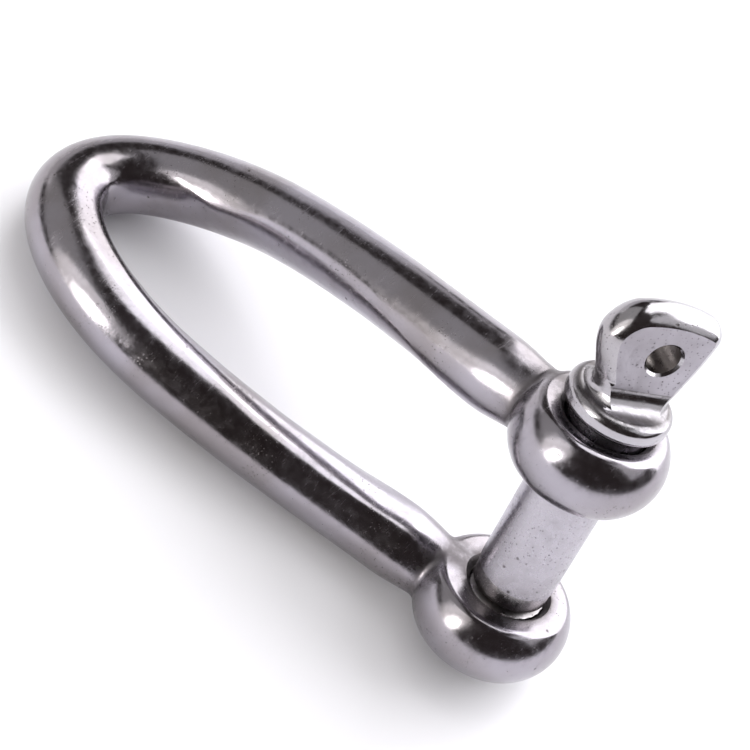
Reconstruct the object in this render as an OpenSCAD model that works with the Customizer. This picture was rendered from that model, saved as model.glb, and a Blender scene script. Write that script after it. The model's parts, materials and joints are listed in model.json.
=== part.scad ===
// Twist shackle with a screw pin: a long dee shackle whose bow is turned a quarter turn to its pin.
// Units are millimetres and +Z is up. The shackle lies as it does on a bench, on the rim of its
// tapped eye, one leg and its crown. It is first drawn with the pin upright, then leaned over.

/* [Bow] */
// Diameter of the forged bar
bar_d = 10.1; // [8:0.1:10.6]
// How much thinner the bar is where it meets an eye
eye_necking = 1.3; // [0.8:0.1:1.6]
// Extra diameter of the bar at the crown
crown_swell = 0.4; // [0:0.1:1]
// Pin axis to the bar's centre at the crown
bow_reach = 76.3; // [60:0.1:100]
// Half the distance between the legs' centres at their widest
bow_half_w = 12.25; // [10:0.05:16]
// How far the legs dip inward between the eyes and the wide part
waist = 0.5; // [0:0.1:1.5]
// Length of the rounded crown
crown_len = 28; // [14:0.5:34]
// Bluntness of the crown: 1 is a half ellipse, less is blunter
crown_fullness = 0.78; // [0.7:0.02:1]
// How far the bow's plane is turned at the full twist
bow_twist = 80; // [0:5:90]
// How deep the inner face is pressed
press = 0.65; // [0.2:0.05:1.2]

/* [Eyes] */
// Clear gap between the two eyes
jaw_w = 19.2; // [14:0.2:26]
// Outside diameter of the plain eye
plain_eye_d = 19.2; // [18:0.1:24]
// Outside diameter of the tapped eye
tapped_eye_d = 20.3; // [18:0.1:24]
// How far the eyes' outsides lie off their holes, towards the crown
eye_shift = 0.5; // [0:0.1:1]
// Thickness of each eye
eye_thick = 9; // [7:0.5:12]
// Radius of the rounding between an eye's flat face and its barrel
eye_round = 1.4; // [0.6:0.2:2]
// Clearance hole in the plain eye
plain_hole_d = 10.6; // [10.3:0.1:11]
// Depth of the chamfer at each hole's mouth
hole_chamfer = 0.7; // [0.3:0.1:1]

/* [Pin] */
// Diameter of the plain shank
pin_d = 10; // [9.6:0.1:10.2]
// Crest diameter of the thread
thread_d = 9.7; // [9:0.1:9.8]
// Pitch of the thread
thread_pitch = 1.5; // [1:0.25:2]
// Gap under the collar as it stands, before the last part of a turn
head_gap = 0.9; // [0.3:0.1:1.4]

/* [Head] */
// Collar diameter
collar_d = 12.8; // [12:0.2:16]
// Collar thickness
collar_thick = 2.9; // [2:0.1:4]
// Width of the finger tab
tab_w = 14.4; // [12:0.2:16]
// Height of the tab above the collar
tab_h = 12.8; // [11.5:0.1:14]
// Thickness of the tab
tab_thick = 4.6; // [3.5:0.1:5.5]
// Seizing-wire hole through the tab
tab_hole_d = 4.6; // [3:0.2:5.4]
// Turn of the tab about the pin, from the long axis
tab_turn = 48; // [0:1:180]

/* [Hidden] */
$fn = 96;
tiny = 0.01;
bar_r = bar_d / 2;
pin_r = pin_d / 2;
eye_z = (jaw_w + eye_thick) / 2;        // height of an eye's middle above the bow's axis
face_in = jaw_w / 2;                    // an eye's flat face, jaw side
face_out = face_in + eye_thick;         // an eye's flat face, outer side

// Twist law: the bar starts to turn before the pin axis and would end beyond the crown.
twist_from = -15.6;
twist_to = bow_reach + 22;

// Bow mesh
leg_steps = 26;
crown_steps = 18;
ring_steps = 36;
leg_len = bow_reach - crown_len;
waist_from = 6;                         // the legs' dip starts inside the eyes' barrels
// How far round the bar from its innermost line each ridge lies, in degrees, at distances from the
// pin. One ridge pinches in before the crown, the other doesn't, and they change sides at the tip.
pinched_ridge = [
    [6, 10], [14, 22], [22, 46], [28, 64], [35, 77], [43, 76], [50, 58],
    [56, 37], [60, 30], [63, 37], [66, 49], [70, 46], [74, 38], [77, 28]
];
even_ridge = [
    [6, 10], [14, 32], [20, 46], [28, 58], [35, 62], [45, 58], [55, 57], [65, 58], [71, 50], [77, 28]
];

// Thread
thread_r = thread_d / 2;
thread_depth = 0.54 * thread_pitch;
root_r = thread_r - thread_depth;
thread_fit = 0.11;                      // clearance all round between the two threads
tapped_r = thread_r + thread_fit;
seg_per_turn = 24;
plain_end = face_in - 2.7;              // the satin shank stops this far below the bow's axis
neck_end = face_in - 1;                 // and the short polished neck under it here
tip_end = face_out - head_gap;          // the tip is flush with the eye once screwed home

// Head, measured upward from the top of the plain eye
collar_z = face_out + head_gap;
collar_r = collar_d / 2;
collar_round = 1.15;
tab_z = collar_z + collar_thick;
cove = 2.25;                            // radius of the hollow between the tab and the collar
tab_hw = tab_w / 2;
tab_ht = tab_thick / 2;
full_corner = 4;                        // the tab's rounder upper corner; under it the side
full_side_z = 7.2;                      // tapers from this height down to this half width
full_root = 3.6;
tight_corner = 2;                       // the same for its squarer side
tight_side_z = 8.8;
tight_root = 5;
root_sink = 0.4;                        // how far the plate goes down into the collar
tab_dome = 18;                          // radius of the tab's domed top
tab_edge = 0.8;                         // rounding of the plate's edges
edge_steps = 4;
foot_hw = 4.4;                          // half width of the foot under the tab
foot_off = -0.6;                        // the foot sits under the middle of the tapered plate
foot_inset = 0.08;
tab_hole_up = 6.9;                      // the hole sits a little off the pin's axis
tab_hole_off = -0.65;
hole_bevel = 0.3;

// How the whole shackle lies on a bench: rolled about its length, then the crown let down, so that
// it rests on the rim of its tapped eye, on one leg and on its crown
roll = 15.3;
lean = 11.34;
footprint_mid = [33.9, 0];               // middle of the footprint, measured from the pin's axis

steel = [0.62, 0.60, 0.63];
satin = [0.70, 0.68, 0.71];

function clamp01(t) = min(1, max(0, t));
function ease(t) = let (u = clamp01(t)) u * u * u * (u * (6 * u - 15) + 10);
function unit(v) = v / norm(v);

// Turn of the bow's plane at a distance along the shackle
function turn_at(x) = bow_twist * ease((x - twist_from) / (twist_to - twist_from));

// Half the legs' spacing at a distance along the shackle
function half_w(x) =
    let (t = clamp01(x / leg_len), dip = clamp01((x - waist_from) / (leg_len - waist_from)))
    x < leg_len
    ? eye_z + (bow_half_w - eye_z) * t * t * (3 - 2 * t) - waist * 6.75 * dip * pow(1 - dip, 2)
    : bow_half_w * sqrt(max(0, 1 - pow((x - leg_len) / crown_len, 2 / crown_fullness)));

// Distances along one leg, from the pin axis to the crown's tip
reach = concat(
    [for (i = [0:leg_steps - 1]) leg_len * i / leg_steps],
    [for (i = [0:crown_steps]) leg_len + crown_len * pow(sin(90 * i / crown_steps), crown_fullness)]
);
half_n = len(reach) - 1;

// Both legs in one run: up the leg of the plain eye, round the crown and back
run_x = concat(reach, [for (i = [1:half_n]) reach[half_n - i]]);
run_w = [for (i = [0:2 * half_n]) (i <= half_n ? 1 : -1) * half_w(run_x[i])];
run_n = len(run_x);

function spine(i) =
    let (a = turn_at(run_x[i]))
    [run_x[i], -run_w[i] * sin(a), run_w[i] * cos(a)];
function heading(i) = unit(spine(min(run_n - 1, i + 1)) - spine(max(0, i - 1)));
function sideways(i) =
    let (a = turn_at(run_x[i]), m = [0, cos(a), sin(a)], t = heading(i))
    unit(m - (m * t) * t);

function bar_r_at(x) =
    bar_r - eye_necking / 2 * (1 - ease((x - 7) / 9)) + crown_swell / 2 * ease((x - 15) / (bow_reach - 25));

// The bow's inner face is pressed to a wider round, which leaves a ridge along each side of it.
function ridge_at(i, upper) = lookup(run_x[i], (run_w[i] > 0) == upper ? pinched_ridge : even_ridge);
function press_at(i) =
    min(press * ease((run_x[i] - 8) / 14),
        0.8 * bar_r_at(run_x[i]) * (1 - cos(min(ridge_at(i, true), ridge_at(i, false)))));
function bar_edge(i, a) =
    let (
        r = bar_r_at(run_x[i]),
        ridge = ridge_at(i, sin(a) > 0),
        rise = r - press_at(i) - r * cos(ridge),
        face_r = (pow(r * sin(ridge), 2) + rise * rise) / (2 * rise),
        middle = r - press_at(i) - face_r
    )
    min(r, middle * cos(a) + sqrt(face_r * face_r - pow(middle * sin(a), 2)));

function bar_point(i, a) =
    let (b = sideways(i), inward = cross(b, heading(i)))
    spine(i) + bar_edge(i, a) * (cos(a) * inward + sin(a) * b);

module bow() {
    pts = [for (i = [0:run_n - 1]) for (k = [0:ring_steps - 1]) bar_point(i, 360 * k / ring_steps)];
    sides = [for (i = [0:run_n - 2]) for (k = [0:ring_steps - 1])
        let (k2 = (k + 1) % ring_steps, a = i * ring_steps, b = a + ring_steps)
        [[a + k, b + k, b + k2], [a + k, b + k2, a + k2]]];
    last = (run_n - 1) * ring_steps;
    faces = concat(
        [for (s = sides) for (f = s) f],
        [[for (k = [0:ring_steps - 1]) k]],
        [[for (k = [ring_steps - 1:-1:0]) last + k]]
    );
    polyhedron(points = pts, faces = faces, convexity = 8);
}

// Half section of one eye: a barrel whose corners roll over into two flat faces
barrel_r = 6.4;
corner_z = eye_thick / 2 - eye_round;
corner_x = sqrt(pow(barrel_r - eye_round, 2) - pow(corner_z, 2));
roll_z = corner_z * barrel_r / (barrel_r - eye_round);

module eye_section(eye_r) {
    barrel_c = eye_r - barrel_r;
    intersection() {
        translate([barrel_c, 0])
            circle(r = barrel_r);
        translate([0, -roll_z])
            square([eye_r + 1, 2 * roll_z]);
    }
    for (s = [-1, 1])
        translate([barrel_c + corner_x, s * corner_z])
            circle(r = eye_round);
    translate([0, -eye_thick / 2])
        square([barrel_c + corner_x, eye_thick]);
}

module eye(eye_r) {
    rotate_extrude()
        intersection() {
            eye_section(eye_r);
            translate([0, -eye_thick])
                square([eye_r + 1, 2 * eye_thick]);
        }
}

// Bore with a chamfered mouth at each end, along Z about the middle of an eye
module eye_bore(r) {
    cylinder(h = eye_thick + 2, r = r, center = true);
    for (s = [0, 1])
        mirror([0, 0, s])
            translate([0, 0, eye_thick / 2 - hole_chamfer])
                cylinder(h = hole_chamfer + 1, r1 = r, r2 = r + hole_chamfer + 1);
}

// One helical ridge: crest and base radii, half widths at each, from z0 upward for some turns.
// It fades in and out over half a turn at its ends.
module ridge(crest_r, base_r, sunk_r, crest_w, base_w, z0, turns) {
    n = round(turns * seg_per_turn);
    slope = (base_w - crest_w) / (base_r - crest_r);
    sunk_w = base_w + slope * (sunk_r - base_r) * 0.3;
    pts = [for (i = [0:n])
        let (
            a = 360 * i / seg_per_turn,
            z = z0 + thread_pitch * i / seg_per_turn,
            f = clamp01(min(i, n - i) / (seg_per_turn / 2)),
            cr = sunk_r + (crest_r - sunk_r) * max(0.15, f)
        )
        for (p = [[sunk_r, -sunk_w], [cr, -crest_w], [cr, crest_w], [sunk_r, sunk_w]])
            [p[0] * cos(a), p[0] * sin(a), z + p[1]]];
    out = crest_r > base_r;
    quads = [for (i = [0:n - 1]) for (k = [0:3])
        let (k2 = (k + 1) % 4, a = 4 * i, b = a + 4)
        out
        ? [[a + k, b + k2, b + k], [a + k, a + k2, b + k2]]
        : [[a + k, b + k, b + k2], [a + k, b + k2, a + k2]]];
    caps = out ? [[3, 2, 1, 0], [4 * n, 4 * n + 1, 4 * n + 2, 4 * n + 3]]
               : [[0, 1, 2, 3], [4 * n + 3, 4 * n + 2, 4 * n + 1, 4 * n]];
    polyhedron(points = pts, faces = concat([for (q = quads) for (f = q) f], caps), convexity = 10);
}

// The forging: twisted bow and both eyes, with a clearance hole above and a tapped hole below
module shackle_body() {
    color(steel)
    lay_down() {
        difference() {
            union() {
                bow();
                translate([eye_shift, 0, eye_z])
                    eye(plain_eye_d / 2);
                translate([eye_shift, 0, -eye_z])
                    eye(tapped_eye_d / 2);
            }
            translate([0, 0, eye_z])
                eye_bore(plain_hole_d / 2);
            translate([0, 0, -eye_z])
                eye_bore(tapped_r);
        }
    }
}

// The pin's plain satin shank, and the short neck between it and the thread
module pin_shank() {
    color(satin)
    lay_down()
        translate([0, 0, -plain_end])
            cylinder(h = plain_end + collar_z, r = pin_r);
}

// The neck and the threaded end, with a chamfered tip
module pin_thread() {
    thread_len = tip_end - neck_end;
    turns = (thread_len - 1.6) / thread_pitch;
    color(steel)
    lay_down() {
        translate([0, 0, -neck_end])
            cylinder(h = neck_end - plain_end, r = thread_r);
        intersection() {
            union() {
                translate([0, 0, -tip_end])
                    cylinder(h = thread_len, r = root_r);
                ridge(thread_r, root_r, root_r - 0.3, 0.0625 * thread_pitch, 0.36 * thread_pitch,
                      -tip_end + 0.8, turns);
            }
            translate([0, 0, -tip_end])
                cylinder(h = thread_len, r1 = root_r - 0.2, r2 = root_r - 0.2 + thread_len);
        }
    }
}

// Collar profile with a rolled rim
module collar_section() {
    square([collar_r - collar_round, collar_thick]);
    translate([0, collar_round])
        square([collar_r, collar_thick - 2 * collar_round]);
    for (z = [collar_round, collar_thick - collar_round])
        translate([collar_r - collar_round, z])
            circle(r = collar_round);
}

// One side of the finger tab's outline, seen face on: a tapered side and an upper corner
module tab_side(corner, side_z, root) {
    translate([0, side_z])
        square([tab_hw, tab_h - corner - side_z]);
    translate([0, side_z])
        square([tab_hw - corner, tab_h - side_z]);
    translate([tab_hw - corner, tab_h - corner])
        circle(r = corner);
    polygon([[0, -root_sink], [root, -root_sink], [tab_hw, side_z], [0, side_z + tiny]]);
}

// The whole outline: one shoulder rounder than the other, under a slight dome
module tab_outline() {
    intersection() {
        union() {
            tab_side(full_corner, full_side_z, full_root);
            mirror([1, 0])
                tab_side(tight_corner, tight_side_z, tight_root);
        }
        translate([0, tab_h - tab_dome])
            circle(r = tab_dome);
    }
}

// Straight hollow-sided foot: half width hw above, flaring by the cove's radius at the bottom
module cove_section(hw) {
    difference() {
        translate([-hw - cove, -0.5])
            square([2 * (hw + cove), cove + 0.5]);
        for (s = [-1, 1])
            translate([s * (hw + cove), cove])
                circle(r = cove);
    }
}

// The plate, its edges rounded in small steps on each side
module tab_plate() {
    $fn = 40;
    rotate([90, 0, 0])
        hull()
            for (k = [0:edge_steps])
                linear_extrude(height = tab_thick - 2 * tab_edge * (1 - cos(90 * k / edge_steps)), center = true)
                    offset(delta = -tab_edge * (1 - sin(90 * k / edge_steps)))
                        tab_outline();
}

// The foot is set a little inside the plate and into the collar, so the three meet at clean edges.
module tab_foot() {
    translate([0, 0, -foot_inset])
        intersection() {
            rotate([90, 0, 0])
                linear_extrude(height = 4 * tab_thick, center = true)
                    translate([foot_off, 0])
                        cove_section(foot_hw);
            rotate([90, 0, 90])
                linear_extrude(height = 2 * tab_w, center = true)
                    cove_section(tab_ht - foot_inset);
            cylinder(h = 2 * cove, r = collar_r - collar_round - foot_inset);
        }
}

module pin_head() {
    color(steel)
    lay_down() {
        translate([0, 0, collar_z])
            rotate_extrude()
                collar_section();
        translate([0, 0, tab_z])
            rotate(tab_turn)
                difference() {
                    union() {
                        tab_plate();
                        tab_foot();
                    }
                    translate([tab_hole_off, 0, tab_hole_up])
                        rotate([90, 0, 0]) {
                            cylinder(h = 3 * tab_thick, r = tab_hole_d / 2 - hole_bevel, center = true);
                            for (s = [0, 1])
                                mirror([0, 0, s])
                                    translate([0, 0, tab_ht - hole_bevel])
                                        cylinder(h = 1, r1 = tab_hole_d / 2 - hole_bevel,
                                                 r2 = tab_hole_d / 2 - hole_bevel + 1);
                        }
                }
    }
}

// A point or direction after the roll and the lean
function leaned(p) =
    let (z = p[1] * sin(roll) + p[2] * cos(roll))
    [p[0] * cos(lean) + z * sin(lean), p[1] * cos(roll) - p[2] * sin(roll), z * cos(lean) - p[0] * sin(lean)];

// The lowest points: the rolled corner of the tapped eye, and the underside of the bow
upright = leaned([0, 0, 1])[2];
rim_out = tapped_eye_d / 2 - barrel_r + corner_x;
eye_low = leaned([eye_shift, 0, -eye_z])[2] - corner_z * upright - rim_out * sqrt(1 - upright * upright) - eye_round;
bow_low = min([for (i = [0:run_n - 1]) leaned(spine(i))[2] - bar_r_at(run_x[i])]);
rest_shift = [-footprint_mid[0], -footprint_mid[1], -min(eye_low, bow_low)];

// Lays the shackle on the bench, with its lowest point at height zero
module lay_down() {
    translate(rest_shift)
        rotate([roll, lean, 0])
            children();
}

shackle_body();
pin_shank();
pin_thread();
pin_head();
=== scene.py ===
import json
import math

import bmesh
import bpy
import numpy as np
from mathutils import Matrix, Vector


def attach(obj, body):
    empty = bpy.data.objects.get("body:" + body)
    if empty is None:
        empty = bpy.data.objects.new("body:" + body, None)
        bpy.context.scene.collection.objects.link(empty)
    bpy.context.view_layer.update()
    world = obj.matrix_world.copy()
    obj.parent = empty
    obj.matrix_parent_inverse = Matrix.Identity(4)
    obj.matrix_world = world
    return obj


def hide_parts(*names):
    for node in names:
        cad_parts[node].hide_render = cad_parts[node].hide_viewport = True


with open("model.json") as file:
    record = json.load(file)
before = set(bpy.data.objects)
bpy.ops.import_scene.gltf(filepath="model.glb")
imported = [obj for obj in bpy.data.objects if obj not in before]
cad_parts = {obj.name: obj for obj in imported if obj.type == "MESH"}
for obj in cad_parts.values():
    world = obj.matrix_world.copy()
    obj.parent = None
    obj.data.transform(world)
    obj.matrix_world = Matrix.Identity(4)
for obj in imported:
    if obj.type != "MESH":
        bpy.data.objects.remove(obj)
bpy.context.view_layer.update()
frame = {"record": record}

# ---------------------------------------------------------------------------------------------
# Driving sizes, in millimetres. Those that the design also has are the same there, apart from
# EVEN_RIDGE, which lies nearer the bow's inner side at the crown than the design's. Shapes are
# worked out with the pin upright (Z along the pin, X towards the crown) and laid down on the
# bench at the end.
# ---------------------------------------------------------------------------------------------
MM = 0.001
ROLL, LEAN = math.radians(15.3), math.radians(11.34)

BAR_R = 5.05
EYE_NECKING = 0.65             # how much thinner the bar is in radius where it meets an eye
NECKING_END, NECKING_RUN = 7, 9    # how far from the pin it stays so, and over what length it ends
CROWN_SWELL = 0.2              # how much thicker the bar is in radius at the crown
BOW_REACH = 76.3
BOW_HALF_W = 12.25
SWELL_FROM, SWELL_RUN = 15, BOW_REACH - 25
WAIST = 0.5
WAIST_FROM = 6.0               # the dip of the legs starts inside the eyes' barrels
CROWN_LEN = 28.0
CROWN_FULLNESS = 0.78          # 1 gives a half ellipse, less gives a blunter tip
BOW_TWIST = math.radians(80)
TWIST_FROM, TWIST_TO = -15.6, BOW_REACH + 22
LEG_LEN = BOW_REACH - CROWN_LEN
PRESS = 0.65                   # how deep the inner face is pressed
PRESS_FROM, PRESS_RUN = 8, 14
MOST_PRESS = 0.8               # part of the room between two close ridges that the press may take
RIDGE_ROUND = 0.22             # rounding of the ridges along the pressed face
# How far round the bar from its innermost line a ridge lies, in degrees, at distances from the
# pin. One ridge pinches in before the crown, the other doesn't, and they change sides at the tip.
PINCHED_RIDGE = ((6, 10), (14, 22), (22, 46), (28, 64), (35, 77), (43, 76), (50, 58),
                 (56, 37), (60, 30), (63, 37), (66, 49), (70, 46), (74, 38), (77, 28))
EVEN_RIDGE = ((6, 10), (14, 32), (20, 46), (28, 58), (35, 62), (45, 57), (55, 50), (65, 42),
              (71, 36), (77, 28))

JAW_W = 19.2
EYE_R = {1: 9.6, -1: 10.15}     # the plain eye's outside radius and the tapped eye's
EYE_SHIFT = {1: 0.5, -1: 0.5}   # how far each eye's outside lies off its hole, towards the crown
EYE_THICK = 9.0
EYE_ROUND = 1.4
EYE_Z = (JAW_W + EYE_THICK) / 2
BARREL_R = 6.4
CORNER_Z = EYE_THICK / 2 - EYE_ROUND
CORNER_REACH = math.sqrt((BARREL_R - EYE_ROUND) ** 2 - CORNER_Z ** 2)
LEG_FILLET = 0.7               # hollow where a leg runs into its eye
PLAIN_HOLE_R = 5.3
TAPPED_R = 4.96
HOLE_CHAMFER = 0.7

PIN_R = 5.0
THREAD_R = 4.85
THREAD_PITCH = 1.5
THREAD_ROOT = THREAD_R - 0.54 * THREAD_PITCH
TIP_SINK = 0.25                # how far inside the thread's root its end face stops
FACE_IN, FACE_OUT = JAW_W / 2, JAW_W / 2 + EYE_THICK
HEAD_GAP = 0.9
PLAIN_END, NECK_END = -(FACE_IN - 2.7), -(FACE_IN - 1)
TIP_END = -(FACE_OUT - HEAD_GAP)
FIRST_CREST = TIP_END + 0.8    # height of the thread's ridge where its angle is 0
RUNOUT_FROM, RUNOUT = NECK_END - 0.25, 0.9

COLLAR_Z = FACE_OUT + HEAD_GAP
COLLAR_R = 6.4
COLLAR_THICK = 2.9
COLLAR_ROUND = 1.15
TAB_Z = COLLAR_Z + COLLAR_THICK
TAB_HW = 7.2
TAB_H = 12.8
TAB_HT = 2.3
TAB_TURN = math.radians(48)
TAB_DOME = 18.0
# For each side of the tab: which way it lies, its corner's radius, the height where its taper
# starts, and the half width that the taper comes down to
TAB_SIDES = ((1, 4.0, 7.2, 3.6), (-1, 2.0, 8.8, 5.0))
TAB_ROLL = 2.5                 # radius of the tab's rolled rim, cut short by its flat faces
TAB_MIDDLE = 6.0               # height of the point from which the tab's outline is found
ROOT_SINK = 0.4                # how far the tab goes down into the collar
TAB_HOLE = (-0.65, 6.9)
TAB_HOLE_R = 2.0
HOLE_BEVEL = 0.3
COVE = 2.25                    # radius of the hollow between a flat face and the collar
FOOT_R, FLARE_W, FLARE_H = 4.2, 1.0, 1.9
FOOT_SINK = 0.6
FOOT_FILLET, COLLAR_FILLET = 0.6, 0.35


# ---------------------------------------------------------------------------------------------
# Small tools for distance functions. Each takes arrays and gives a distance that is negative
# inside the steel.
# ---------------------------------------------------------------------------------------------
def ease(t):
    u = np.clip(t, 0, 1)
    return u ** 3 * (u * (6 * u - 15) + 10)


def round_union(a, b, r):
    """The two solids joined with a hollow fillet of radius r."""
    return np.maximum(r, np.minimum(a, b)) - np.hypot(np.maximum(r - a, 0), np.maximum(r - b, 0))


def round_both(a, b, r):
    """What lies inside both solids, its edge rounded to radius r."""
    return np.minimum(-r, np.maximum(a, b)) + np.hypot(np.maximum(r + a, 0), np.maximum(r + b, 0))


def soft_max(a, b, width):
    """The larger of two distances, blended where they are within a width of each other."""
    t = np.clip(0.5 + 0.5 * (a - b) / width, 0, 1)
    return b + (a - b) * t + width * t * (1 - t)


def unit(v):
    return v / np.linalg.norm(v, axis=-1, keepdims=True)


def gradient(f, pts, step=0.004):
    """Outward direction of a distance function at each point."""
    g = np.empty_like(pts)
    for k in range(3):
        d = np.zeros(3)
        d[k] = step
        g[:, k] = f(pts + d) - f(pts - d)
    return unit(g)


def settle(f, pts, rounds=4):
    """Moves points on to the surface where a distance function is zero."""
    for _ in range(rounds):
        pts = pts - gradient(f, pts) * f(pts)[:, None]
    return pts


# ---------------------------------------------------------------------------------------------
# The bow: one bar swept along a spine. A place on the spine is a length run from the crown's
# tip, positive towards the plain eye.
# ---------------------------------------------------------------------------------------------
CROWN_RUN = CROWN_LEN * math.pi / 2
SPINE_END = CROWN_RUN + LEG_LEN


def leg_half_w(x):
    t = np.clip(x / LEG_LEN, 0, 1)
    dip = np.clip((x - WAIST_FROM) / (LEG_LEN - WAIST_FROM), 0, 1)
    return EYE_Z + (BOW_HALF_W - EYE_Z) * t * t * (3 - 2 * t) - WAIST * 6.75 * dip * (1 - dip) ** 2


def spine(run):
    """Centre of the bar and how far the bow's plane has turned there."""
    a = np.abs(run)
    turn = a / CROWN_LEN
    on_crown = a < CROWN_RUN
    blunt = np.maximum(np.cos(turn), 0) ** CROWN_FULLNESS
    x = np.where(on_crown, LEG_LEN + CROWN_LEN * blunt, LEG_LEN + CROWN_RUN - a)
    w = np.sign(run) * np.where(on_crown, BOW_HALF_W * np.sin(turn), leg_half_w(x))
    twist = BOW_TWIST * ease((x - TWIST_FROM) / (TWIST_TO - TWIST_FROM))
    return np.stack([x, -w * np.sin(twist), w * np.cos(twist)], -1), twist


def spine_frame(run):
    """Centre, inward and sideways directions of the bar's section."""
    c, twist = spine(run)
    step = 1e-3
    heading = unit(spine(run - step)[0] - spine(run + step)[0])
    m = np.stack([np.zeros_like(twist), np.cos(twist), np.sin(twist)], -1)
    side = unit(m - (m * heading).sum(-1, keepdims=True) * heading)
    return c, np.cross(side, heading), side


def bar_r_at(x):
    necking = EYE_NECKING * (1 - ease((x - NECKING_END) / NECKING_RUN))
    return BAR_R - necking + CROWN_SWELL * ease((x - SWELL_FROM) / SWELL_RUN)


def through(knots, x):
    """A smooth curve through a few given points."""
    at, value = (np.array(k, float) for k in zip(*knots))
    slope = np.gradient(value, at)
    x = np.clip(x, at[0], at[-1])
    i = np.clip(np.searchsorted(at, x) - 1, 0, len(at) - 2)
    gap = at[i + 1] - at[i]
    t = (x - at[i]) / gap
    rise = value[i + 1] - value[i]
    bend = t * (1 - t) * ((1 - t) * (slope[i] * gap - rise) - t * (slope[i + 1] * gap - rise))
    return value[i] + rise * t + bend


def pressed_face(x, run):
    """Depth of the pressed face, its radius on each side, and the angles of its two ridges."""
    r = bar_r_at(x)
    pinched, even = (np.radians(through(k, x)) for k in (PINCHED_RIDGE, EVEN_RIDGE))
    ridges = np.where(run > 0, pinched, even), np.where(run > 0, even, pinched)
    room = r * (1 - np.cos(np.minimum(pinched, even)))
    press = np.minimum(PRESS * ease((x - PRESS_FROM) / PRESS_RUN), MOST_PRESS * room)
    radii = []
    for ridge in ridges:
        rise = r - press - r * np.cos(ridge)
        radii.append(((r * np.sin(ridge)) ** 2 + rise ** 2) / (2 * rise))
    return press, radii, ridges


RUNS = np.linspace(-SPINE_END, SPINE_END, 420)
RUN_POINTS = spine(RUNS)[0]


def nearest_run(pts, batch=20000):
    """For each point, the closest of the places in RUNS."""
    out = np.empty(len(pts))
    for i in range(0, len(pts), batch):
        p = pts[i:i + batch]
        d = ((p[:, None] - RUN_POINTS[None]) ** 2).sum(-1)
        out[i:i + batch] = RUNS[d.argmin(1)]
    return out


class Bow:
    """Distance to the swept bar, for a fixed set of points and their close neighbours."""

    def __init__(self, pts):
        self.run = nearest_run(pts)

    def __call__(self, pts):
        run = self.run
        step = 1e-3
        for _ in range(3):
            ahead, back = spine(run + step)[0], spine(run - step)[0]
            along = (ahead - back) / (2 * step)
            gap = pts - (ahead + back) / 2
            run = run + (gap * along).sum(-1) / (along ** 2).sum(-1)
            run = np.clip(run, -SPINE_END, SPINE_END)
        c, inward, side = spine_frame(run)
        gap = pts - c
        u, v = (gap * inward).sum(-1), (gap * side).sum(-1)
        past_end = np.maximum(-gap[:, 0] - 0.01, 0) * (np.abs(run) > SPINE_END - 0.01)
        r = bar_r_at(c[:, 0])
        press, radii, _ = pressed_face(c[:, 0], run)
        radius = np.where(v > 0, *radii)
        inner_face = np.hypot(u - (r - press - radius), v) - radius
        return round_both(np.hypot(u, v) - r, inner_face, RIDGE_ROUND) + 3 * past_end


def eye_distance(pts, side):
    """Distance to an eye without its hole. side is +1 for the plain eye, -1 for the tapped one."""
    out = np.hypot(pts[:, 0] - EYE_SHIFT[side], pts[:, 1]) - (EYE_R[side] - BARREL_R)
    z = np.abs(pts[:, 2] - side * EYE_Z)
    on_barrel = np.arctan2(z, out) < math.atan2(CORNER_Z, CORNER_REACH)
    barrel = np.hypot(out, z) - BARREL_R
    corner = np.hypot(out - CORNER_REACH, z - CORNER_Z) - EYE_ROUND
    flat = z - EYE_THICK / 2
    return np.where(on_barrel & (out > 0), barrel, np.where(out < CORNER_REACH, flat, corner))


class Forging:
    """Distance to the whole forging's outside: the bow and both eyes, with filleted joins."""

    def __init__(self, pts):
        self.bow = Bow(pts)

    def eyes(self, pts):
        return np.where(pts[:, 2] > 0, eye_distance(pts, 1), eye_distance(pts, -1))

    def __call__(self, pts):
        return round_union(self.bow(pts), self.eyes(pts), LEG_FILLET)


# ---------------------------------------------------------------------------------------------
# Mesh making
# ---------------------------------------------------------------------------------------------
def new_object(name, verts, faces):
    me = bpy.data.meshes.new(name)
    me.from_pydata([tuple(map(float, v)) for v in verts], [], [tuple(map(int, f)) for f in faces])
    me.validate()
    bm = bmesh.new()
    bm.from_mesh(me)
    bmesh.ops.recalc_face_normals(bm, faces=bm.faces)
    bm.to_mesh(me)
    bm.free()
    ob = bpy.data.objects.new(name, me)
    bpy.context.scene.collection.objects.link(ob)
    return ob


def grid_faces(rows, cols, offset=0):
    """Quads of a grid whose columns close into rings, facing outward for rings counted
    anticlockwise seen from the end that the rows run towards."""
    out = []
    for i in range(rows - 1):
        for k in range(cols):
            a, b = offset + i * cols + k, offset + i * cols + (k + 1) % cols
            out.append((a, b, b + cols, a + cols))
    return out


def closed_tube(name, verts, cols, clockwise=False):
    """Solid made of rings of cols points, with a flat face over its first and its last ring.
    clockwise says how the rings run, seen from the last one."""
    last = len(verts) - cols
    faces = grid_faces(len(verts) // cols, cols)
    faces += [tuple(range(cols - 1, -1, -1)), tuple(range(last, last + cols))]
    if clockwise:
        faces = [f[::-1] for f in faces]
    return new_object(name, verts, faces)


def circle_steps(steps):
    return np.linspace(0, 2 * np.pi, steps, endpoint=False)


def lathe(name, profile, steps=160, z0=0.0):
    """Solid of revolution about Z. The profile's points (radius, height) run upward."""
    ang = circle_steps(steps)
    rings = [(r * np.cos(ang), r * np.sin(ang), np.full(steps, z + z0)) for r, z in profile]
    return closed_tube(name, np.concatenate([np.stack(r, -1) for r in rings]), steps)


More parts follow.
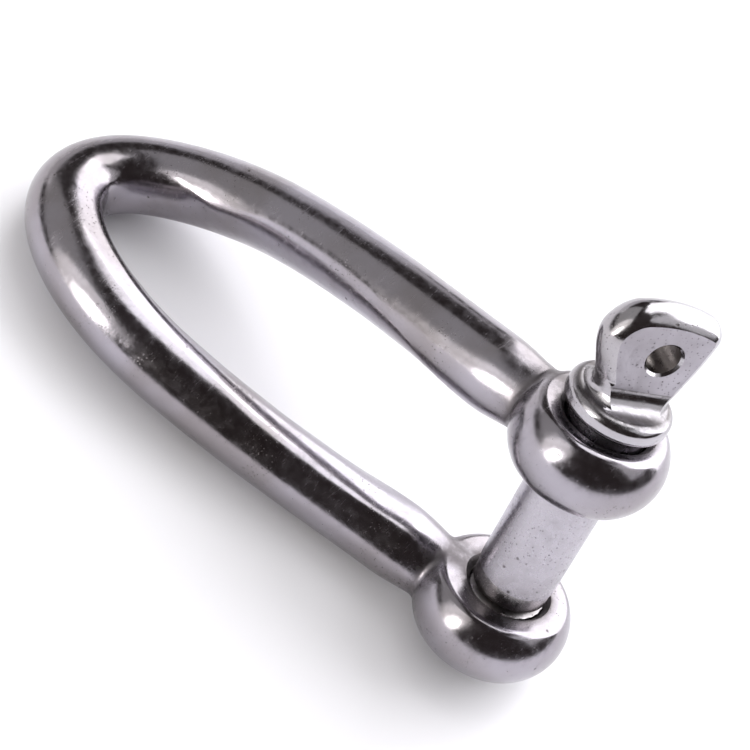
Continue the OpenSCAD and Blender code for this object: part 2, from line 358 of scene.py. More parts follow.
def round_bar(name, radius_at, zs, steps):
    """Solid about Z whose radius is a function of the angle and the height. Also gives its
    points, in the mesh's own order."""
    zz, aa = np.meshgrid(zs, circle_steps(steps), indexing="ij")
    r = radius_at(aa, zz)
    verts = np.stack([r * np.cos(aa), r * np.sin(aa), zz], -1).reshape(-1, 3)
    return closed_tube(name, verts, steps), verts


def combine(ob, other, operation):
    """Joins the other solid to this one, or cuts it away, and deletes it."""
    mod = ob.modifiers.new("cut", "BOOLEAN")
    mod.operation = operation
    mod.object = other
    mod.solver = "MANIFOLD"
    dg = bpy.context.evaluated_depsgraph_get()
    me = bpy.data.meshes.new_from_object(ob.evaluated_get(dg))
    ob.modifiers.clear()
    old = ob.data
    ob.data = me
    bpy.data.meshes.remove(old)
    bpy.data.objects.remove(other)


def points_of(me):
    co = np.empty(len(me.vertices) * 3)
    me.vertices.foreach_get("co", co)
    return co.reshape(-1, 3)


def set_points(me, pts):
    me.vertices.foreach_set("co", np.ascontiguousarray(pts, dtype=np.float32).ravel())
    me.update()


def shade(ob, surfaces):
    """Gives every face corner the true direction of the surface that its face lies on, and
    returns which surface that is. surfaces are functions that take points and return a distance
    function for them. Of the surfaces near a face, the one that faces its way is taken."""
    me = ob.data
    pts = points_of(me)
    count = len(me.polygons)
    centres = np.empty(count * 3)
    me.polygons.foreach_get("center", centres)
    centres = centres.reshape(-1, 3)
    normals = np.empty(count * 3)
    me.polygons.foreach_get("normal", normals)
    normals = normals.reshape(-1, 3)
    score = np.empty((len(surfaces), count))
    for i, make in enumerate(surfaces):
        f = make(centres)
        off = np.abs(f(centres))
        facing = (gradient(f, centres) * normals).sum(-1)
        score[i] = off + 0.5 * (1 - facing)
    kind = score.argmin(0)
    starts = np.empty(count, int)
    totals = np.empty(count, int)
    me.polygons.foreach_get("loop_start", starts)
    me.polygons.foreach_get("loop_total", totals)
    corner_kind = np.repeat(kind, totals)
    corner_face = np.repeat(np.arange(count), totals)
    corner_vert = np.empty(len(me.loops), int)
    me.loops.foreach_get("vertex_index", corner_vert)
    out = np.empty((len(me.loops), 3))
    for i, make in enumerate(surfaces):
        mine = np.nonzero(corner_kind == i)[0]
        if not len(mine):
            continue
        used, back = np.unique(corner_vert[mine], return_inverse=True)
        f = make(pts[used])
        out[mine] = gradient(f, pts[used])[back]
    wrong = (out * normals[corner_face]).sum(-1) < 0.1
    out[wrong] = normals[corner_face][wrong]
    me.polygons.foreach_set("use_smooth", np.ones(count, bool))
    me.normals_split_custom_set(out.tolist())
    return kind


def use_slots(ob, slots):
    """Which of the object's materials each face wears."""
    ob.data.polygons.foreach_set("material_index", np.ascontiguousarray(slots, dtype=np.int32))


def mark(ob, name, amount):
    """Writes a number from 0 to 1 on every vertex, for a material to read."""
    layer = ob.data.attributes.new(name, "FLOAT", "POINT")
    layer.data.foreach_set("value", np.clip(amount, 0, 1).astype(np.float32))


def make_bow():
    """The bar as a dense tube, its points set closer along the two ridges."""
    spacing = 0.45
    rings = int(2 * SPINE_END / spacing)
    runs = np.linspace(-SPINE_END, SPINE_END, rings)
    c, inward, side = spine_frame(runs)
    r = bar_r_at(c[:, 0])
    press, radii, ridges = pressed_face(c[:, 0], runs)
    # Parts of the way from the innermost line to a ridge, and from the ridge to the outermost line
    inner = np.array([0, 0.25, 0.5, 0.72, 0.86, 0.94, 0.975, 1.0])
    outer = np.concatenate([[0.008, 0.02, 0.045], np.linspace(0.08, 1, 30)])
    verts = []
    for i in range(rings):
        halves = [np.concatenate([inner * ridge[i], ridge[i] + outer * (math.pi - ridge[i])])
                  for ridge in ridges]
        ang = np.concatenate([halves[0], -halves[1][-2:0:-1]])
        cols = len(ang)
        cos, sin = np.cos(ang), np.sin(ang)
        radius = np.where(sin > 0, radii[0][i], radii[1][i])
        middle = r[i] - press[i] - radius
        edge = np.minimum(r[i], middle * cos + np.sqrt(radius ** 2 - (middle * sin) ** 2))
        verts.append(c[i] + edge[:, None] * (cos[:, None] * inward[i] + sin[:, None] * side[i]))
    pts = np.concatenate(verts)
    inside = slice(cols, len(pts) - cols)
    pts[inside] = settle(Bow(pts[inside]), pts[inside])
    return closed_tube("shackle_forging", pts, cols, clockwise=True)


def make_eye(side):
    """One eye without its hole: a barrel whose corners roll over into two flat faces."""
    split = math.atan2(CORNER_Z, CORNER_REACH)
    flat_rings = (-1.0, 1.0, 2.6, 3.4, CORNER_REACH - 0.15, CORNER_REACH)
    up = [(out, EYE_THICK / 2) for out in flat_rings]
    for a in np.linspace(math.pi / 2, split, 9)[1:]:
        up.append((CORNER_REACH + EYE_ROUND * math.cos(a), CORNER_Z + EYE_ROUND * math.sin(a)))
    for a in np.linspace(split, 0, 14)[1:]:
        up.append((BARREL_R * math.cos(a), BARREL_R * math.sin(a)))
    middle = EYE_R[side] - BARREL_R
    section = [(middle + out, -z) for out, z in up[:-1]] + [(middle + out, z) for out, z in up[::-1]]
    ob = lathe("eye", section, 168, side * EYE_Z)
    ob.data.transform(Matrix.Translation((EYE_SHIFT[side], 0, 0)))
    return ob


def thread_ridge(angle, z, lag, foot, flank):
    """Height of a thread's ridge, 0 at its root and 1 at its crest. lag is how far it follows the
    pin's own ridge, in turns. foot and flank are the ridge's half width and its slope's, in half
    pitches."""
    phase = (z - FIRST_CREST) / THREAD_PITCH - angle / (2 * math.pi) - lag
    saw = np.abs(phase - np.round(phase)) * 2
    return np.clip((foot - saw) / flank, 0, 1)


def tapped_wall(angle, z):
    """Radius of the tapped hole's wall: ridges between the pin's, at the same pitch, that fade
    out at the hole's two mouths."""
    rise = thread_ridge(angle, z, 0.5, 0.78, 0.66)
    plain, fade_run = 0.5, 1.2
    fade = (ease((np.abs(-FACE_IN - z) - plain) / fade_run)
            * ease((np.abs(-FACE_OUT - z) - plain) / fade_run))
    root_slack, crest_slack = 0.02, 0.14
    return TAPPED_R + root_slack - (TAPPED_R - THREAD_ROOT - crest_slack) * rise * fade


def tapped_cutter():
    past, spacing = 1, 0.125
    rows = int((EYE_THICK + 2 * past) / spacing)
    zs = np.linspace(-FACE_OUT - past, -FACE_IN + past, rows)

    def wall(angle, z):
        mouth = TAPPED_R + HOLE_CHAMFER - np.minimum(-FACE_IN - z, z + FACE_OUT)
        return np.maximum(tapped_wall(angle, z), mouth)

    return round_bar("tapped_cutter", wall, zs, 120)[0]


def plain_cutter():
    past = 1
    half = EYE_THICK / 2
    bore_half = half - HOLE_CHAMFER
    mouth_r = PLAIN_HOLE_R + HOLE_CHAMFER + past
    profile = [(mouth_r, -half - past), (PLAIN_HOLE_R, -half + HOLE_CHAMFER)]
    profile += [(PLAIN_HOLE_R, z) for z in np.linspace(-half + HOLE_CHAMFER + 0.2, bore_half - 0.2, 8)]
    profile += [(PLAIN_HOLE_R, bore_half), (mouth_r, half + past)]
    return lathe("plain_cutter", profile, 160, EYE_Z)


def fixed(f):
    """A distance function that needs no preparing, in the form that shade takes."""
    return lambda pts: f


def bore_wall(radius):
    return fixed(lambda p: radius - np.hypot(p[:, 0], p[:, 1]))


def bore_mouth(radius, middle):
    """The two chamfers of a hole through an eye."""
    def f(p):
        depth = EYE_THICK / 2 - np.abs(p[:, 2] - middle)
        return (radius + HOLE_CHAMFER - depth - np.hypot(p[:, 0], p[:, 1])) / math.sqrt(2)
    return fixed(f)


def tapped_surface(p):
    """Distance to the tapped wall, halved because its ridges slope."""
    ang = np.arctan2(p[:, 1], p[:, 0])
    return (tapped_wall(ang, p[:, 2]) - np.hypot(p[:, 0], p[:, 1])) * 0.5


def make_forging():
    """Bow and eyes in one, with both holes. Slot 1 is for the holes' walls."""
    ob = make_bow()
    for s in (-1, 1):
        combine(ob, make_eye(s), "UNION")
    me = ob.data
    pts = points_of(me)
    both = Forging(pts)
    near = (np.abs(both.bow(pts)) < 2 * LEG_FILLET) & (np.abs(both.eyes(pts)) < 2 * LEG_FILLET)
    pts[near] = settle(Forging(pts[near]), pts[near])
    set_points(me, pts)
    combine(ob, plain_cutter(), "DIFFERENCE")
    combine(ob, tapped_cutter(), "DIFFERENCE")
    kind = shade(ob, [Forging, bore_wall(PLAIN_HOLE_R), bore_mouth(PLAIN_HOLE_R, EYE_Z),
                      bore_mouth(TAPPED_R, -EYE_Z), fixed(tapped_surface)])
    use_slots(ob, np.where((kind == 1) | (kind == 4), 1, 0))
    pts = points_of(ob.data)
    both = Forging(pts)
    # Painted shade, with some dirt: the steel is darkened along the joins of legs and eyes, where the
    # fillet's shade is painted in, and round the holes' mouths, where the collar's shade and dark
    # reflection are painted in along with some dirt.
    crease_w, mouth_w, mouth_shade_and_dirt, eye_half = 0.8, 0.35, 0.7, 9
    shade_and_dirt = np.exp(-(np.abs(both.bow(pts)) + np.abs(both.eyes(pts))) / crease_w)
    mouths = [np.hypot(pts[:, 0], pts[:, 1]) - r - HOLE_CHAMFER for r in (PLAIN_HOLE_R, TAPPED_R)]
    mouth = np.exp(-np.maximum(np.where(pts[:, 2] > 0, mouths[0], mouths[1]), 0) / mouth_w)
    mark(ob, "shade_and_dirt", np.maximum(shade_and_dirt, mouth_shade_and_dirt * mouth * (np.abs(pts[:, 0]) < eye_half)))
    return ob


# ---------------------------------------------------------------------------------------------
# The pin
# ---------------------------------------------------------------------------------------------
def make_shank():
    """The plain part, from the step above the polished neck up into the collar."""
    profile = [(THREAD_R - 0.3, PLAIN_END)]
    for inset, up in ((0.12, 0), (0.03, 0.05), (0, 0.14)):
        profile.append((PIN_R - inset, PLAIN_END + up))
    profile += [(PIN_R, z) for z in np.linspace(PLAIN_END + 0.5, COLLAR_Z - 0.4, 40)]
    profile += [(PIN_R, COLLAR_Z)]
    ob = lathe("shank_bar", profile, 144)
    shade(ob, [fixed(lambda p: np.hypot(p[:, 0], p[:, 1]) - PIN_R),
               fixed(lambda p: PLAIN_END - p[:, 2]), fixed(lambda p: p[:, 2] - COLLAR_Z)])
    return ob


def thread_radius(angle, z):
    """Radius of the threaded end: a chamfered tip, the ridge, and a plain neck that the ridge's
    grooves fade into."""
    rise = thread_ridge(angle, z, 0, 0.76, 0.62)
    crest = THREAD_R - THREAD_ROOT
    grooved = ease((RUNOUT_FROM - z) / RUNOUT)
    tip = np.minimum(THREAD_R, THREAD_ROOT - TIP_SINK + (z - TIP_END))
    body = THREAD_ROOT + crest * rise
    body = body * grooved + THREAD_R * (1 - grooved)
    return np.where(z < NECK_END, np.minimum(body, tip), THREAD_R)


def make_thread():
    zs = np.concatenate([np.linspace(TIP_END, NECK_END, 150),
                         np.linspace(NECK_END, PLAIN_END, 14)[1:]])
    ob, verts = round_bar("thread_end", thread_radius, zs, 144)
    ob.data.polygons.foreach_set("use_smooth", np.ones(len(ob.data.polygons), bool))
    ob.data.set_sharp_from_angle(angle=math.radians(35))
    # Painted shade: the deeper a point lies in the thread's grooves, the darker and duller the steel is
    # drawn.
    depth = THREAD_R - np.hypot(verts[:, 0], verts[:, 1])
    off_tip = verts[:, 2] > TIP_END + 0.05
    mark(ob, "root", depth / (THREAD_R - THREAD_ROOT) * off_tip)
    return ob


def tab_outline_distance(x, h):
    """Distance in the tab's own plane: x across, h above the collar. Each side tapers towards the
    collar below a rounded corner."""
    dome = np.hypot(x, h - (TAB_H - TAB_DOME)) - TAB_DOME
    halves = []
    for side, corner, taper_h, root in TAB_SIDES:
        upright = side * x - TAB_HW
        dx, dh = TAB_HW - root, taper_h + ROOT_SINK
        taper = (upright * dh - (h - taper_h) * dx) / math.hypot(dx, dh)
        halves.append(soft_max(round_both(upright, dome, corner), taper, 1.0))
    return np.where(x > 0, *halves)


def foot_radius(h):
    """Radius of the round foot under the tab, spreading where it meets the collar."""
    t = np.clip(h / FLARE_H, 0, 1)
    return FOOT_R + FLARE_W * (1 - np.sqrt(1 - (1 - t) ** 2))


def tab_local(pts):
    """Places in the tab's own axes: x across, y through, h up from the collar's top."""
    c, s = math.cos(TAB_TURN), math.sin(TAB_TURN)
    x = pts[:, 0] * c + pts[:, 1] * s
    y = -pts[:, 0] * s + pts[:, 1] * c
    return x, y, pts[:, 2] - TAB_Z


def blank_distance(pts):
    """The tab before its faces were cut flat, with its flared foot."""
    x, y, h = tab_local(pts)
    edge = tab_outline_distance(x, np.maximum(h, 1.0))
    rim = np.hypot(np.maximum(edge + TAB_ROLL, 0), y) - TAB_ROLL
    foot = np.maximum(np.hypot(x, y) - foot_radius(h), h - COVE)
    return round_union(rim, foot, FOOT_FILLET)


def collar_distance(pts):
    rho = np.hypot(pts[:, 0], pts[:, 1])
    z = np.abs(pts[:, 2] - (COLLAR_Z + COLLAR_THICK / 2))
    return round_both(rho - COLLAR_R, z - COLLAR_THICK / 2, COLLAR_ROUND)


def outer_head(pts):
    """The head's outside before its faces are cut: tab, foot and collar."""
    return round_union(blank_distance(pts), collar_distance(pts), COLLAR_FILLET)


def tab_contour(inset, steps=220):
    """Points of the tab's outline drawn in by inset, as (x, h), found along rays from its middle."""
    ang = circle_steps(steps)
    near, far = np.zeros(steps), np.full(steps, 14.0)
    for _ in range(40):
        mid = (near + far) / 2
        x, h = mid * np.cos(ang), TAB_MIDDLE + mid * np.sin(ang)
        d = np.maximum(tab_outline_distance(x, h), -(h + ROOT_SINK)) + inset
        near = np.where(d < 0, mid, near)
        far = np.where(d < 0, far, mid)
    return near * np.cos(ang), TAB_MIDDLE + near * np.sin(ang)


def turned(pts):
    """From the tab's own axes (x across, y through, h up) to the pin's."""
    c, s = math.cos(TAB_TURN), math.sin(TAB_TURN)
    x, y, h = pts[:, 0], pts[:, 1], pts[:, 2]
    return np.stack([x * c - y * s, x * s + y * c, h + TAB_Z], -1)


def make_tab_blank():
    """The tab with its rolled rim, a little thicker than its flat faces will leave it."""
    rows = []
    for a in np.linspace(-1, 1, 31) * math.asin(0.95):
        x, h = tab_contour(TAB_ROLL * (1 - math.cos(a)))
        rows.append(np.stack([x, np.full_like(x, TAB_ROLL * math.sin(a)), h], -1))
    verts = turned(np.concatenate(rows))
    return closed_tube("pin_head_forging", verts, len(rows[0]), clockwise=True)


def make_foot():
    steps = 120
    ang = circle_steps(steps)
    rows = []
    for h in np.linspace(-FOOT_SINK, COVE, 16):
        r = min(foot_radius(h), COLLAR_R - COLLAR_ROUND - 0.05)
        rows.append(np.stack([r * np.cos(ang), r * np.sin(ang), np.full(steps, h)], -1))
    return closed_tube("foot", turned(np.concatenate(rows)), steps)


def make_collar():
    flat_r = COLLAR_R - COLLAR_ROUND
    profile = [(3.0, 0.0), (flat_r - 0.2, 0.0)]
    for a in np.linspace(-math.pi / 2, 0, 12):
        profile.append((flat_r + COLLAR_ROUND * math.cos(a), COLLAR_ROUND + COLLAR_ROUND * math.sin(a)))
    for r, z in profile[::-1]:
        profile.append((r, COLLAR_THICK - z))
    return lathe("collar", profile, 144, COLLAR_Z)


def make_face_cutter(side):
    """Everything in front of one face of the tab: flat above, hollow below."""
    outside, above = 9.0, 15.0
    low = 0.02                  # keeps the cutter off the collar's flat top
    edge = [(TAB_HT, h) for h in (above, 10.0, 6.0, 3.5)]
    for a in np.linspace(math.pi, 1.5 * math.pi, 18):
        edge.append((TAB_HT + COVE + COVE * math.cos(a), COVE + low + COVE * math.sin(a)))
    edge += [(outside, low), (outside, above)]
    verts = [(x, side * y, h) for x in (-outside, outside) for y, h in edge]
    n = len(edge)
    faces = [(k, (k + 1) % n, n + (k + 1) % n, n + k) for k in range(n)]
    faces += [tuple(range(n - 1, -1, -1)), tuple(range(n, 2 * n))]
    if side > 0:
        faces = [f[::-1] for f in faces]
    return new_object("face_cutter", turned(np.array(verts)), faces)


def make_hole_cutter():
    """The seizing-wire hole, through the tab, with a small chamfer at each mouth."""
    past = 1
    mouth_r = TAB_HOLE_R + HOLE_BEVEL + past
    profile = [(mouth_r, -TAB_HT - past), (TAB_HOLE_R, -TAB_HT + HOLE_BEVEL), (TAB_HOLE_R, 0.0),
               (TAB_HOLE_R, TAB_HT - HOLE_BEVEL), (mouth_r, TAB_HT + past)]
    ob = lathe("hole_cutter", profile, 96)
    pts = points_of(ob.data)
    flipped = np.stack([pts[:, 0] + TAB_HOLE[0], pts[:, 2], -pts[:, 1] + TAB_HOLE[1]], -1)
    set_points(ob.data, turned(flipped))
    return ob


def hole_wall(pts):
    x, _, h = tab_local(pts)
    return TAB_HOLE_R - np.hypot(x - TAB_HOLE[0], h - TAB_HOLE[1])


def hole_mouth(pts):
    x, y, h = tab_local(pts)
    depth = TAB_HT - np.abs(y)
    across = np.hypot(x - TAB_HOLE[0], h - TAB_HOLE[1])
    return (TAB_HOLE_R + HOLE_BEVEL - depth - across) / math.sqrt(2)


def cut_surface(pts):
    """Distance to the tab's flat faces and the hollows under them."""
    _, y, h = tab_local(pts)
    a = np.abs(y)
    cove = COVE - np.hypot(a - TAB_HT - COVE, h - COVE)
    return np.where(h > COVE, a - TAB_HT, cove)


def make_head():
    """Tab, foot and collar in one. Slot 1 is for the tab's flat faces, slot 2 for its hole."""
    ob = make_tab_blank()
    combine(ob, make_foot(), "UNION")
    combine(ob, make_collar(), "UNION")
    pts = points_of(ob.data)
    h = pts[:, 2] - TAB_Z
    near = (h > -FOOT_SINK) & (h < 5)
    pts[near] = settle(outer_head, pts[near], 3)
    set_points(ob.data, pts)
    for side in (-1, 1):
        combine(ob, make_face_cutter(side), "DIFFERENCE")
    combine(ob, make_hole_cutter(), "DIFFERENCE")
    kind = shade(ob, [fixed(outer_head), fixed(cut_surface), fixed(hole_wall), fixed(hole_mouth)])
    centres = np.array([p.center for p in ob.data.polygons])
    flat = (kind == 1) & (centres[:, 2] - TAB_Z > COVE - 0.05)
    use_slots(ob, np.where(flat, 1, np.where(kind == 2, 2, 0)))
    pts = points_of(ob.data)
    x, y, h = tab_local(pts)
    # Painted shade: the steel is darkened where the tab's foot meets the collar, and in a dark line
    # along the lower edge of each flat face.
    root_w, root_shade, arris_w, arris_shade = 0.25, 0.8, 0.2, 0.6
    root = np.exp(-np.abs(h) / root_w) * (np.hypot(x, y) < COLLAR_R)
    arris = np.exp(-np.abs(h - COVE) / arris_w) * (np.abs(np.abs(y) - TAB_HT) < 0.1)
    mark(ob, "shade_and_dirt", np.maximum(root_shade * root, arris_shade * arris))
    return ob


# ---------------------------------------------------------------------------------------------
# Laying the pieces down on the bench
# ---------------------------------------------------------------------------------------------
hinge = next(j for j in frame["record"]["behaviour"]["joints"] if j["name"] == "pin_turn")
LAY = Matrix.Rotation(LEAN, 3, "Y") @ Matrix.Rotation(ROLL, 3, "X")
SHIFT = Vector(hinge["pos_m"]) - LAY @ Vector((0, 0, COLLAR_Z * MM))


def lay_down(ob):
    """From upright millimetres to where the piece lies, in metres."""
    ob.data.transform(Matrix.Translation(SHIFT) @ (LAY * MM).to_4x4())
    return ob


# ---------------------------------------------------------------------------------------------
# Materials. Sizes inside the node trees are in metres: a texture's scale is how many of its
# features go into one metre.
# ---------------------------------------------------------------------------------------------
class Nodes:
    """A material's node tree, with short calls for what the finishes are made of."""

    def __init__(self, name):
        self.mat = bpy.data.materials.new(name)
        self.mat.use_nodes = True
        self.tree = self.mat.node_tree
        self.shader = self.tree.nodes["Principled BSDF"]
        self.place = self.put("ShaderNodeTexCoord").outputs["Object"]

    def put(self, kind, inputs=(), **settings):
        """A new node. inputs gives its sockets a value or a link each."""
        node = self.tree.nodes.new(kind)
        for key, value in settings.items():
            setattr(node, key, value)
        for key, value in dict(inputs).items():
            self.feed(node.inputs[key], value)
        return node

    def feed(self, socket, value):
        if isinstance(value, bpy.types.NodeSocket):
            self.tree.links.new(value, socket)
        else:
            socket.default_value = value

    def math(self, operation, a, b):
        return self.put("ShaderNodeMath", {0: a, 1: b}, operation=operation).outputs[0]

    def span(self, value, low, high, to_low=0.0, to_high=1.0):
        """The value's part between low and high, spread smoothly over a new range."""
        node = self.put("ShaderNodeMapRange", interpolation_type="SMOOTHSTEP")
        for key, v in zip(("Value", "From Min", "From Max", "To Min", "To Max"),
                          (value, low, high, to_low, to_high)):
            self.feed(node.inputs[key], v)
        return node.outputs["Result"]

    def noise(self, scale, detail=2.0, rough=0.5, place=None):
        inputs = {"Vector": place or self.place, "Scale": scale, "Detail": detail, "Roughness": rough}
        return self.put("ShaderNodeTexNoise", inputs).outputs["Fac"]

    def turned_place(self, turn, stretch):
        """The object's own coordinates turned and then squeezed along each axis."""
        inputs = {"Vector": self.place, "Rotation": turn, "Scale": stretch}
        return self.put("ShaderNodeMapping", inputs).outputs["Vector"]

    def blend(self, amount, a, b):
        """From colour a, where amount is 0, to colour b, where it is 1."""
        node = self.put("ShaderNodeMix", data_type="RGBA")
        for key, v in ((0, amount), (6, a), (7, b)):
            self.feed(node.inputs[key], (*v, 1) if isinstance(v, tuple) else v)
        return node.outputs[2]

    def pits(self, scale, cover):
        """Small pits of two sizes, gathered in patches. The larger cover is, the larger the
        patches are. The cells are warped, so that no pit is quite round."""
        warp = self.put("ShaderNodeVectorMath", {0: self.place}, operation="ADD")
        uneven = self.put("ShaderNodeTexNoise", {"Vector": self.place, "Scale": 2500})
        push = self.put("ShaderNodeVectorMath", {0: uneven.outputs["Color"], 1: (3e-4,) * 3},
                        operation="MULTIPLY")
        self.feed(warp.inputs[1], push.outputs[0])
        both = None
        for size, patch, more in ((scale, 260, 0.0), (2.4 * scale, 140, 0.06)):
            cells = self.put("ShaderNodeTexVoronoi", {"Vector": warp.outputs[0], "Scale": size})
            dots = self.span(cells.outputs["Distance"], 0.05, 0.26, 1.0, 0.0)
            edge = 0.66 - more - 0.3 * cover
            patches = self.span(self.noise(patch, 3), edge, edge + 0.14)
            dots = self.math("MULTIPLY", dots, patches)
            both = dots if both is None else self.math("MAXIMUM", both, dots)
        return both

    def scratches(self, fine):
        """Thin lines in two directions, as polishing leaves them."""
        lines = None
        for turn, stretch in (((0.2, 0.5, 0.7), (26.0, 1.0, 9.0)),
                              ((1.1, -0.4, 2.0), (22.0, 1.0, 7.0))):
            streaks = self.noise(fine, 2, 0.6, self.turned_place(turn, stretch))
            run = self.span(streaks, 0.62, 0.72)
            lines = run if lines is None else self.math("MAXIMUM", lines, run)
        return lines

    def bump(self, height, depth, under=None):
        node = self.put("ShaderNodeBump", {"Height": height, "Distance": depth, "Strength": 1.0})
        if under is not None:
            self.feed(node.inputs["Normal"], under)
        return node.outputs["Normal"]


# Dark colour of real pits and dirt, also used for painted shade in creases, thread roots and joins
GRIME_AND_SHADE = (0.045, 0.036, 0.032)
CLOUD_SCALE, MARK_SCALE, PIT_SCALE, HAIR_SCALE, WAVE_SCALE = 75, 900, 850, 150, 150
PIT_DEPTH = 0.000012


def steel(name, tone, stain, gloss, blur, wave, grain, pitting, lines, shade_and_dirt_attr=None):
    """Worked stainless steel. tone and stain are its colours, gloss and blur the roughness of its
    smoothest and its dullest places, wave and grain the depths of its unevenness in metres,
    pitting how much of it is pitted, and lines how far scratches dull it. The last argument
    names the mesh attribute where painted shade, partly dirt at the holes' mouths, darkens and dulls
    it."""
    n = Nodes(name)
    clouds = n.noise(CLOUD_SCALE, 3)
    marks = n.noise(MARK_SCALE, 5, 0.68)
    pits = n.pits(PIT_SCALE, pitting)
    hair = n.scratches(HAIR_SCALE)
    colour = n.blend(n.span(clouds, 0.35, 0.68), tone, stain)
    colour = n.blend(n.span(marks, 0.54, 0.8, 0, 0.5), colour, stain)
    colour = n.blend(n.math("MULTIPLY", pits, 0.85), colour, GRIME_AND_SHADE)
    rough = n.span(marks, 0.3, 0.75, gloss, blur)
    rough = n.math("ADD", rough, n.math("MULTIPLY", hair, lines))
    rough = n.math("ADD", rough, n.math("MULTIPLY", pits, 0.25))
    if shade_and_dirt_attr:
        # Painted shade: where the attribute is high the steel is drawn darker and duller, partly dirt
        # at the holes' mouths
        shade_and_dirt_amount = n.put("ShaderNodeAttribute", attribute_name=shade_and_dirt_attr).outputs["Fac"]
        shade_and_dirt_amount = n.math("MULTIPLY", shade_and_dirt_amount, n.span(marks, 0.25, 0.55, 0.55, 1.0))
        colour = n.blend(shade_and_dirt_amount, colour, GRIME_AND_SHADE)
        rough = n.math("ADD", rough, n.math("MULTIPLY", shade_and_dirt_amount, 0.3))
    normal = n.bump(n.noise(WAVE_SCALE, 2), wave)
    normal = n.bump(marks, grain, normal)
    normal = n.bump(n.math("SUBTRACT", 1.0, pits), PIT_DEPTH, normal)
    n.feed(n.shader.inputs["Base Color"], colour)
    n.feed(n.shader.inputs["Roughness"], rough)
    n.feed(n.shader.inputs["Normal"], normal)
    n.shader.inputs["Metallic"].default_value = 1.0
    return n.mat


forging = lay_down(make_forging())
shank = lay_down(make_shank())
thread = lay_down(make_thread())
head = lay_down(make_head())
polished = steel("polished_steel", tone=(0.385, 0.364, 0.404), stain=(0.285, 0.262, 0.272),
                 gloss=0.15, blur=0.28, wave=0.00010, grain=0.000009, pitting=0.28, lines=0.06,
                 shade_and_dirt_attr="shade_and_dirt")
# The holes' walls: a rougher bored finish, and a darker colour that is painted shade inside the holes.
shaded_bore = steel("shaded_bored_steel", tone=(0.24, 0.22, 0.21), stain=(0.12, 0.10, 0.09),
             gloss=0.24, blur=0.45, wave=0.00004, grain=0.000014, pitting=0.5, lines=0.05,
             shade_and_dirt_attr="shade_and_dirt")
satin = steel("satin_steel", tone=(0.47, 0.448, 0.492), stain=(0.34, 0.32, 0.345),
              gloss=0.22, blur=0.36, wave=0.00003, grain=0.000016, pitting=0.5, lines=0.08)
rolled = steel("rolled_steel", tone=(0.44, 0.425, 0.445), stain=(0.33, 0.31, 0.31),
               gloss=0.16, blur=0.30, wave=0.00004, grain=0.000010, pitting=0.3, lines=0.06,
               shade_and_dirt_attr="root")
bright = steel("bright_steel", tone=(0.47, 0.455, 0.485), stain=(0.37, 0.35, 0.36),
               gloss=0.12, blur=0.26, wave=0.00010, grain=0.000008, pitting=0.4, lines=0.05,
               shade_and_dirt_attr="shade_and_dirt")
face = steel("brushed_steel", tone=(0.46, 0.438, 0.482), stain=(0.33, 0.31, 0.335),
             gloss=0.28, blur=0.44, wave=0.00004, grain=0.000018, pitting=0.5, lines=0.08)
for piece, body, node, slot, looks in (
        (forging, "shackle", "shackle_body", "polished_steel", (polished, shaded_bore)),
        (shank, "pin_travel", "pin_shank", "satin_steel", (satin,)),
        (thread, "pin_turn", "pin_thread", "thread_steel", (rolled,)),
        (head, "pin_turn", "pin_head", "head_steel", (bright, face, shaded_bore))):
    # The boolean steps leave empty slots behind, so the faces' slots are kept and set again
    slots = np.empty(len(piece.data.polygons), np.int32)
    piece.data.polygons.foreach_get("material_index", slots)
    piece.data.materials.clear()
    for look in looks:
        piece.data.materials.append(look)
    use_slots(piece, np.minimum(slots, len(looks) - 1))
    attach(piece, body)
    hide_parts(node)

# ---------------------------------------------------------------------------------------------
# Stage, lights and camera
# ---------------------------------------------------------------------------------------------
FLOOR_HALF = 3
corners = [(x * FLOOR_HALF, y * FLOOR_HALF, 0) for x, y in ((-1, -1), (1, -1), (1, 1), (-1, 1))]
floor = new_object("floor", corners, [(0, 1, 2, 3)])
paper = Nodes("paper")
paper.feed(paper.shader.inputs["Base Color"],
           paper.blend(paper.noise(30, 4), (0.90, 0.895, 0.93), (0.93, 0.925, 0.955)))
paper.shader.inputs["Roughness"].default_value = 0.9
floor.data.materials.append(paper.mat)


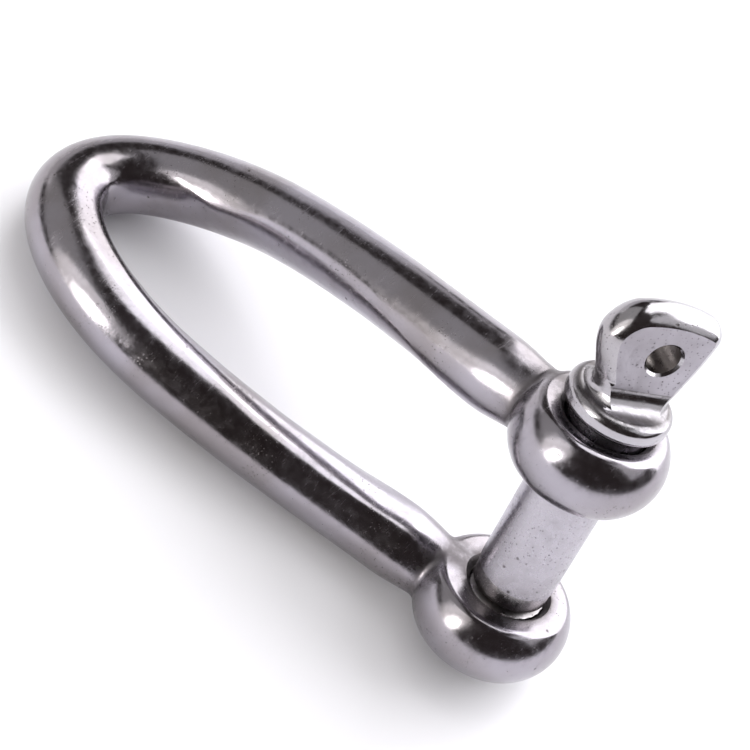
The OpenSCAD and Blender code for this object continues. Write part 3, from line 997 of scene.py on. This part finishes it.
def softbox(name, azimuth, elevation, wide, tall, glow, colour=(1, 1, 1), away=2.4,
            shape="RECTANGLE", mirrored=True):
    """An area light that faces the shackle. azimuth runs from +Y towards +X. wide and tall are the
    angles that it fills as seen from the shackle, in degrees, and glow is its brightness. away is
    in metres. A light that isn't mirrored brightens the floor but doesn't show in the steel."""
    az, el = math.radians(azimuth), math.radians(elevation)
    light = bpy.data.lights.new(name, "AREA")
    light.shape = shape
    light.size = 2 * away * math.tan(math.radians(wide / 2))
    light.size_y = 2 * away * math.tan(math.radians(tall / 2))
    area = light.size * light.size_y * (math.pi / 4 if shape == "ELLIPSE" else 1)
    light.energy = math.pi * area * glow
    light.color = colour
    ob = bpy.data.objects.new(name, light)
    target = Vector((0, 0, 0.02))
    towards = (math.sin(az) * math.cos(el), math.cos(az) * math.cos(el), math.sin(el))
    ob.location = target + away * Vector(towards)
    ob.rotation_euler = (target - ob.location).to_track_quat("-Z", "Y").to_euler()
    ob.visible_glossy = mirrored
    bpy.context.scene.collection.objects.link(ob)


WARM, COOL = (1, 0.985, 0.95), (0.98, 0.98, 1)
softbox("lamp", 25, 13, 14, 32, 8.5, WARM, shape="ELLIPSE")
softbox("lamp_skirt", 33, 23, 36, 56, 1.3, WARM, away=2.5, shape="ELLIPSE")
softbox("window", 197, 29, 70, 62, 3.3, COOL)
softbox("window_side", 246, 44, 42, 44, 0.8, COOL, away=2.5)
softbox("transom", 163, 64, 26, 36, 2.5, away=2.3)
softbox("side_panel", 74, 36, 60, 50, 0.46)
softbox("low_panel", 125, 7, 60, 22, 0.8, (0.97, 0.96, 1))
softbox("overhead_wash", 150, 76, 96, 96, 0.62, mirrored=False)

DIM_ROOM = (0.038, 0.030, 0.029, 1)
world = bpy.data.worlds.new("studio")
world.use_nodes = True
world.node_tree.nodes["Background"].inputs["Color"].default_value = DIM_ROOM
bpy.context.scene.world = world
bpy.context.scene.view_settings.view_transform = "Standard"

# The photograph's viewpoint, fitted to the shackle's outline
VIEW_FROM = (-0.030806, 0.116751, 0.174168)
VIEW_TURN = (32.396, -20.355, -139.443)
cam = bpy.data.cameras.new("camera")
cam.lens = 76.92
cam.sensor_width = 36
cam.clip_start, cam.clip_end = 0.01, 20
camera = bpy.data.objects.new("camera", cam)
camera.location = VIEW_FROM
camera.rotation_euler = [math.radians(turn) for turn in VIEW_TURN]
bpy.context.scene.collection.objects.link(camera)
bpy.context.scene.camera = camera
